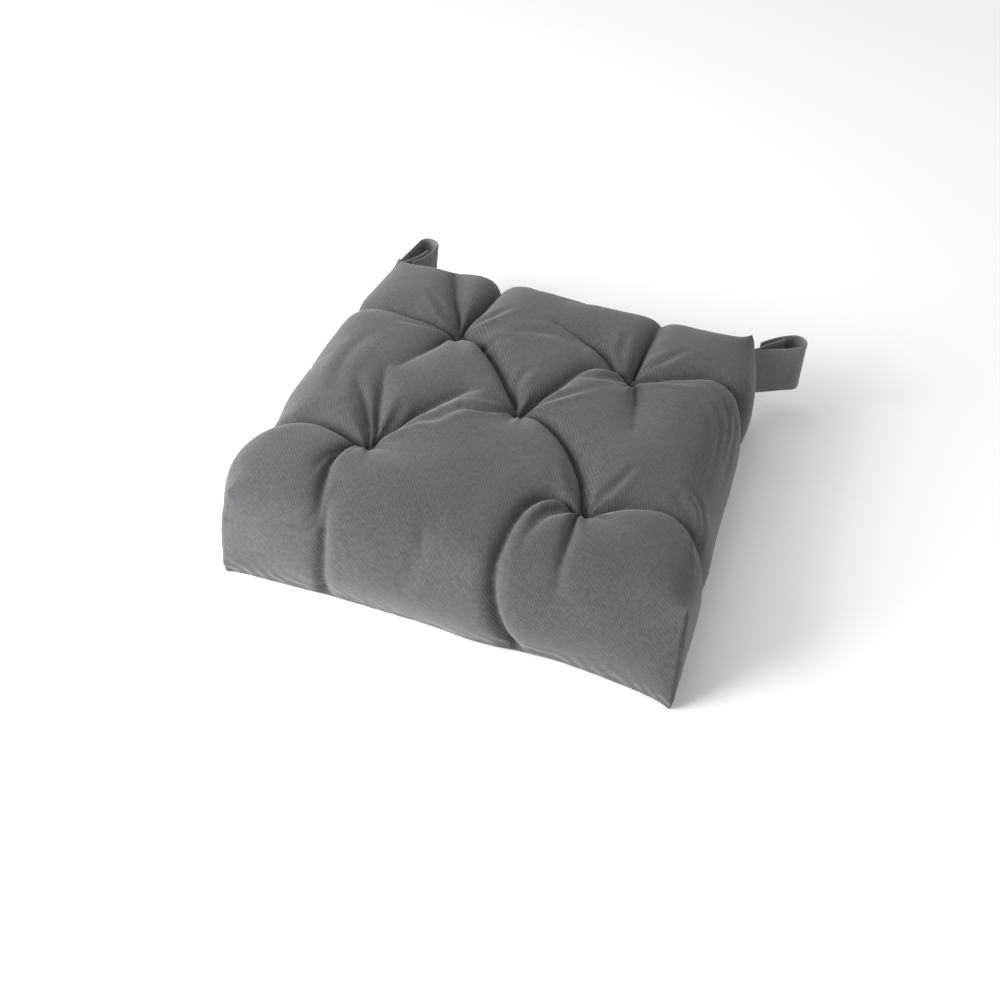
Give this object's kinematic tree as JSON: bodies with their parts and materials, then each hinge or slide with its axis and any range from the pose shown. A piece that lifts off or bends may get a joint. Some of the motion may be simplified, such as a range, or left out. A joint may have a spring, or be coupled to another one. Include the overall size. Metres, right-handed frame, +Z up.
{
  "type": "chair seat pad",
  "caption": "Thick woven-cotton seat pad, wider at the front, tufted at the middle and corners of its top, with a strap loop at each back corner.",
  "frame": {"origin": "centre of the flat underside, midway between the front and back edges and on the centre line", "axes": "+X to the right of a sitter facing forward seen from the front, -Y towards the front edge, +Y towards the chair's back, +Z up"},
  "size_m": [0.4178, 0.4317, 0.1],
  "materials": {
    "cover_cotton": "matte",
    "lining_cotton": "matte",
    "fibre_fill": "matte",
    "strap_cotton": "matte",
    "thread": "satin",
    "hook_and_loop_tape": "matte"
  },
  "bodies": {
    "pad": {"top_cover": "cover_cotton", "bottom_panel": "lining_cotton", "filling": "fibre_fill", "perimeter_seam_thread": "thread", "closing_stitch": "thread", "corner_seam_front_left": "thread", "corner_seam_front_right": "thread", "corner_seam_back_left": "thread", "corner_seam_back_right": "thread", "tuft_tie_centre": "thread", "tuft_tie_front_left": "thread", "tuft_tie_front_right": "thread", "tuft_tie_back_left": "thread", "tuft_tie_back_right": "thread", "right_strap_seam_tab": "strap_cotton", "left_strap_seam_tab": "strap_cotton"},
    "strap_right": {"right_strap_band": "strap_cotton", "right_strap_loop_tape": "hook_and_loop_tape", "right_strap_tape_stitching": "thread"},
    "strap_right_tail": {"right_strap_tail": "strap_cotton", "right_strap_hook_tape": "hook_and_loop_tape", "right_strap_tail_stitching": "thread"},
    "strap_left": {"left_strap_band": "strap_cotton", "left_strap_loop_tape": "hook_and_loop_tape", "left_strap_tape_stitching": "thread"},
    "strap_left_tail": {"left_strap_tail": "strap_cotton", "left_strap_hook_tape": "hook_and_loop_tape", "left_strap_tail_stitching": "thread"}
  },
  "joints": [
    {"name": "strap_right_swing", "type": "hinge", "parent": "pad", "child": "strap_right", "pos_m": [0.17493, 0.18993, 0.055], "axis": [0, 0, 1], "range_deg": [-100, 90]},
    {"name": "strap_right_open", "type": "hinge", "parent": "strap_right", "child": "strap_right_tail", "pos_m": [0.21732, 0.22491, 0.055], "axis": [0, 0, 1], "range_deg": [-150, 0]},
    {"name": "strap_left_swing", "type": "hinge", "parent": "pad", "child": "strap_left", "pos_m": [-0.17493, 0.18993, 0.055], "axis": [0, 0, 1], "range_deg": [-20, 170]},
    {"name": "strap_left_open", "type": "hinge", "parent": "strap_left", "child": "strap_left_tail", "pos_m": [-0.15656, 0.24172, 0.055], "axis": [0, 0, 1], "range_deg": [0, 150]}
  ]
}
